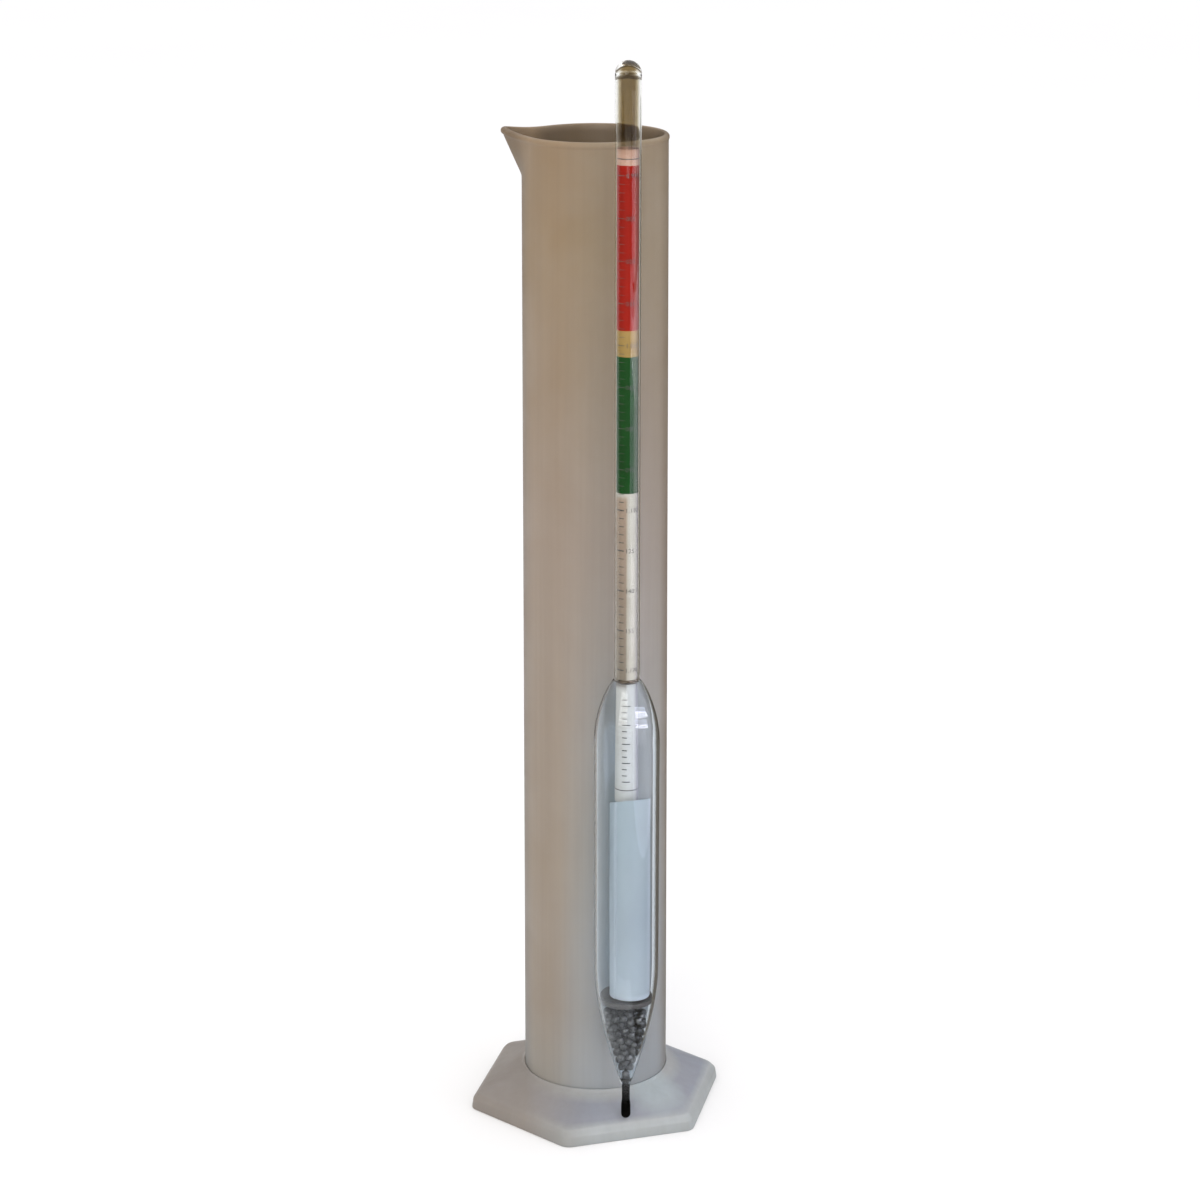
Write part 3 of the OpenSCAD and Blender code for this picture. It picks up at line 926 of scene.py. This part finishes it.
def settled_shot(count, low, high):
    """Centres of balls dropped into the cone, by pushing them down and apart until they rest."""
    rng = np.random.default_rng(11)
    heights = rng.uniform(low, high + 14, count)
    around = rng.uniform(0, 2 * math.pi, count)
    spread = rng.uniform(0, 1, count) ** 0.5
    inner = np.array([bore_radius(min(h, SHOULDER)) for h in heights])
    reach = spread * np.maximum(inner - SHOT_R, 0)
    p = np.stack([reach * np.cos(around), reach * np.sin(around), heights], 1)
    table_h = np.linspace(low - 6, high + 20, 400)
    table_r = np.array([max(0.0, bore_radius(h) - SHOT_R * 1.04) for h in table_h])
    upper, lower = np.triu_indices(count, 1)
    falling, settling = 560, 140
    for fall in [0.05] * falling + [0.01] * settling:
        p[:, 2] -= fall
        for _ in range(3):
            gap = p[upper] - p[lower]
            dist = np.linalg.norm(gap, axis=1) + 1e-9
            near = dist < 2 * SHOT_R
            push = (gap[near] / dist[near, None]) * ((2 * SHOT_R - dist[near]) * 0.5)[:, None]
            np.add.at(p, upper[near], push)
            np.add.at(p, lower[near], -push)
            out = np.hypot(p[:, 0], p[:, 1])
            room = np.interp(p[:, 2], table_h, table_r)
            over = out > room
            scale = room[over] / (out[over] + 1e-9)
            p[over, 2] += (out[over] - room[over]) * 0.25
            p[over, 0] *= scale
            p[over, 1] *= scale
            p[:, 2] = np.maximum(p[:, 2], low)
    return p


def build_shot(material):
    """Lead balls, each a little out of round, settled in the cone."""
    rng = random.Random(5)
    bm = bmesh.new()
    top = SEAL_LOW - SHOT_R
    for x, y, h in settled_shot(BALLS_DROPPED, SHOT_LOW, top):
        if h > top:
            continue
        ball = bmesh.ops.create_icosphere(bm, subdivisions=3, radius=SHOT_R)["verts"]
        bumps = [(rng.uniform(-1, 1), rng.uniform(-1, 1), rng.uniform(-1, 1)) for _ in range(3)]
        for v in ball:
            unit = v.co.normalized()
            dent = sum(max(0.0, unit.x * b[0] + unit.y * b[1] + unit.z * b[2] - 0.55) for b in bumps)
            v.co *= 1 - 0.07 * dent
            v.co.x += AXIS_X + x
            v.co.y += AXIS_Y + y
            v.co.z += TIP_Z + h
    new_piece("lead_shot", "hydrometer", bm, material, ["ballast_shot"])


def build_seal(material):
    """The wad that holds the shot, with an uneven top that climbs the glass."""
    bm = bmesh.new()
    columns = []
    for a in round_angles(64):
        ripple = 0.18 * math.sin(3 * a + 0.4) + 0.1 * math.sin(7 * a)
        low_r, high_r = bore_radius(SEAL_LOW) - 0.06, bore_radius(SEAL_HIGH) - 0.06
        points = [(0.0, SEAL_LOW), (low_r, SEAL_LOW), (high_r, SEAL_HIGH - 0.1 + 0.5 * min(0.0, ripple)),
                  (high_r * 0.86, SEAL_HIGH - 0.45 + ripple), (high_r * 0.45, SEAL_HIGH - 0.6 - ripple),
                  (0.0, SEAL_HIGH - 0.5)]
        columns.append([on_circle(AXIS_X, AXIS_Y, r, a, TIP_Z + h)
                        for r, h in rounded(points, (0, 0.3, 0.3, 0.8, 0.8, 0), 3)])
    skin_columns(bm, columns)
    new_piece("ballast_seal", "hydrometer", bm, material, ["shot_seal"])


def build_resin(material):
    """Resin that fills the tail's bore and the cone's narrow end, with a dished top."""
    top = resin_high[2] - TIP_Z
    heights = list(np.linspace(CAPILLARY_LOW + 0.1, top, 14))
    profile = [(0.0, heights[0])]
    profile += [(bore_radius(h) + 0.02, h) for h in heights]
    profile += [(0.3, top - 0.25), (0.0, top - 0.3)]
    bm = bmesh.new()
    lathe(bm, profile, 32)
    new_piece("tail_pitch", "hydrometer", bm, material, ["tail_resin"])


def build_glue(material):
    """The drop of glue round the slip in the neck."""
    low, high = NECK - 0.6, NECK + 0.5
    edge = STEM_R - STEM_WALL - 0.03
    bm = bmesh.new()
    columns = []
    for a in round_angles(64):
        sag = 0.25 * math.sin(2 * a + 1) + 0.12 * math.sin(5 * a)
        points = [(PAPER_R + 0.01, low), (STEM_R - 0.1, low + 0.1 + 0.3 * max(0.0, sag)),
                  (STEM_R - 0.05, low + 0.45), (edge, NECK - 0.1), (edge, high), (PAPER_R + 0.01, high)]
        columns.append([on_circle(AXIS_X, AXIS_Y, r, a, TIP_Z + h)
                        for r, h in rounded(points, (0.1, 0.3, 0.3, 0.2, 0.1, 0.1), 3, closed=True)])
    skin_columns(bm, columns, closed_profile=True)
    new_piece("slip_glue", "hydrometer", bm, material, ["scale_glue"])


# ---------------------------------------------------------------- stage, lights and camera (in metres)
CAMERA_PLACE = (0.00115, -0.7302, 0.3492)
CAMERA_DIP = 16.47
LENS, SENSOR = 92.13, 36
FLOOR_HALF = 6.0
LILAC, WARM = (0.9, 0.88, 1.0), (1.0, 0.94, 0.86)
WINDOW_X, WINDOW_Y = 0.27, -0.22
WINDOW_RADIANCE, PANE_RADIANCE, FILL_RADIANCE = 1.6, 24, 3.3
FILL_PLACE, FILL_TARGET, FILL_SIZE = (-0.4, -1.5, 0.75), (0.0, 0.0, 0.12), (1.0, 1.0)
IMAGE_PLACE, IMAGE_SIZE = (0.184, -0.119, 0.089), (0.34, 0.178)
PANE_AWAY, SHADE_AWAY = 0.17, 0.08
WALLS, CEILING = (0.3, 0.265, 0.235, 1), (1.26, 1.26, 1.28, 1)


def build_floor():
    """A plain pale floor that fills the view."""
    bm = bmesh.new()
    bmesh.ops.create_grid(bm, x_segments=1, y_segments=1, size=FLOOR_HALF)
    mesh = bpy.data.meshes.new("floor")
    bm.to_mesh(mesh)
    bm.free()
    n = Nodes("pale_floor")
    shade = n.mix(n.noise(3, 3, 0.5), (0.88, 0.88, 0.88), (0.9, 0.9, 0.9))
    paint = n.principled(Base_Color=shade, Roughness=0.7)
    paint.inputs["Specular IOR Level"].default_value = 0
    mesh.materials.append(n.finish(paint.outputs[0]))
    in_scene("floor", mesh)


def softbox(name, place, target, size, radiance, colour, image_only=False):
    """A rectangular lamp that faces a point. With image_only it only shows in glossy surfaces."""
    lamp = bpy.data.lights.new(name, "AREA")
    lamp.shape = "RECTANGLE"
    lamp.size, lamp.size_y = size
    lamp.energy = radiance * math.pi * size[0] * size[1]
    lamp.color = colour
    holder = in_scene(name, lamp)
    holder.location = place
    holder.rotation_euler = (Vector(place) - Vector(target)).to_track_quat("Z", "Y").to_euler()
    holder.visible_camera = False
    if image_only:
        holder.visible_diffuse = False


def build_sky():
    """Even light from a bright ceiling over dim and slightly warm walls, which the camera sees as white."""
    world = bpy.data.worlds.new("studio")
    bpy.context.scene.world = world
    world.use_nodes = True
    tree = world.node_tree
    place = tree.nodes.new("ShaderNodeTexCoord")
    split = tree.nodes.new("ShaderNodeSeparateXYZ")
    rise = tree.nodes.new("ShaderNodeMapRange")
    blend = tree.nodes.new("ShaderNodeMix")
    blend.data_type = "RGBA"
    rise.interpolation_type = "SMOOTHSTEP"
    rise.inputs["From Min"].default_value = 0.2
    rise.inputs["From Max"].default_value = 0.55
    blend.inputs[6].default_value = WALLS
    blend.inputs[7].default_value = CEILING
    tree.links.new(place.outputs["Generated"], split.inputs[0])
    tree.links.new(split.outputs["Z"], rise.inputs["Value"])
    tree.links.new(rise.outputs[0], blend.inputs[0])
    seen = tree.nodes.new("ShaderNodeMix")
    seen.data_type = "RGBA"
    seen.inputs[7].default_value = (1, 1, 1, 1)
    path = tree.nodes.new("ShaderNodeLightPath")
    tree.links.new(path.outputs["Is Camera Ray"], seen.inputs[0])
    tree.links.new(blend.outputs[2], seen.inputs[6])
    tree.links.new(seen.outputs[2], tree.nodes["Background"].inputs["Color"])


def build_lights():
    """Soft studio light: a window on the right, its image in the glass, and a wide fill in front."""
    for name, height, size in (("window_upper", 0.19, (0.22, 0.065)), ("window_lower", 0.085, (0.22, 0.12))):
        softbox(name, (WINDOW_X, WINDOW_Y, height), (0.0, 0.0, height), size, WINDOW_RADIANCE, LILAC)
    hydrometer = (AXIS_X * MM, AXIS_Y * MM, IMAGE_PLACE[2])
    softbox("window_image", IMAGE_PLACE, hydrometer, IMAGE_SIZE, WINDOW_RADIANCE, LILAC, image_only=True)
    softbox("front_fill", FILL_PLACE, FILL_TARGET, FILL_SIZE, FILL_RADIANCE, WARM)


def from_shoulder(turn, rise, distance):
    """A point seen from the float's shoulder, turned to the right from straight ahead, and raised."""
    shoulder = Vector((AXIS_X + 3, AXIS_Y - 6, TIP_Z + 107)) * MM
    turn, rise = math.radians(turn), math.radians(rise)
    return shoulder + distance * Vector((math.sin(turn), -math.cos(turn), math.tan(rise)))


def mirror_only(n, shader):
    """Lets a stage sheet show only in light that a glossy surface has mirrored."""
    path = n.add("ShaderNodeLightPath")
    mirrored = n.maths("GREATER_THAN", path.outputs["Glossy Depth"], 0.5)
    clear = n.add("ShaderNodeBsdfTransparent")
    return n.finish(n.blend_shaders(mirrored, clear.outputs[0], shader.outputs[0]))


def image_sheet(name, corners, material):
    """A flat stage sheet that only shows as a reflection."""
    mesh = bpy.data.meshes.new(name)
    mesh.from_pydata(corners, [], [(0, 1, 2, 3)])
    mesh.materials.append(material)
    sheet = in_scene(name, mesh)
    sheet.visible_camera = False
    sheet.visible_diffuse = False
    sheet.visible_shadow = False


def build_window_image():
    """Two bright panes that the float's shoulder mirrors, and a shade that keeps them off the stem.

    Each side edge is the turn to it, then the rises to its lower and upper end, in degrees.
    """
    sheets = {"pane_upper": (PANE_AWAY, PANE_RADIANCE, (36, 11.5, 18), (90, 4, 7.5)),
              "pane_lower": (PANE_AWAY, PANE_RADIANCE, (32, 3, 7), (85, -3.5, -0.5)),
              "pane_shade": (SHADE_AWAY, WINDOW_RADIANCE, (22, 20, 44), (95, 8, 34))}
    for name, (distance, radiance, left, right) in sheets.items():
        n = Nodes(name)
        material = mirror_only(n, n.add("ShaderNodeEmission", Color=LILAC, Strength=radiance))
        material.cycles.emission_sampling = "NONE"
        corners = [from_shoulder(turn, rise, distance) for turn, rise in
                   ((left[0], left[1]), (right[0], right[1]), (right[0], right[2]), (left[0], left[2]))]
        image_sheet(name, corners, material)


def build_table_image():
    """Dark cloth on the floor that only shows as a reflection, so that the glass isn't all white."""
    n = Nodes("table_cloth")
    weave = n.noise(30, 3, 0.5)
    tone = n.mix(weave, (0.1, 0.085, 0.06), (0.15, 0.13, 0.1))
    cloth = mirror_only(n, n.principled(Base_Color=tone, Roughness=0.9))
    height, far, seam, behind = 0.002, 1.6, 0.03, -0.12
    for name, left, right, near, back in (("cloth_front", -far, seam, -far, behind),
                                          ("cloth_right", seam, far, -far, far)):
        corners = [(left, near, height), (right, near, height), (right, back, height), (left, back, height)]
        image_sheet(name, corners, cloth)


def build_camera():
    """The camera at the photograph's angle."""
    camera = bpy.data.cameras.new("camera")
    camera.lens = LENS
    camera.sensor_width = SENSOR
    camera.clip_start, camera.clip_end = 0.01, 50
    holder = in_scene("camera", camera)
    holder.location = CAMERA_PLACE
    holder.rotation_euler = (math.radians(90 - CAMERA_DIP), 0, 0)
    bpy.context.scene.camera = holder


# ---------------------------------------------------------------- the scene
build_camera()
build_floor()
build_sky()
build_lights()
build_table_image()
build_window_image()

build_jar(jar_plastic())
build_foot(foot_plastic())
build_float(float_glass())
build_stem(stem_glass())
build_paper(printed_paper())
build_print(printing_ink())
build_glue(set_glue())
build_card(pale_card())
build_shot(dull_lead())
build_seal(soaked_wad())
build_resin(black_resin())

scene = bpy.context.scene
scene.view_settings.view_transform = "Standard"
bounces = 24
scene.cycles.max_bounces = bounces
scene.cycles.transmission_bounces = bounces
scene.cycles.transparent_max_bounces = bounces
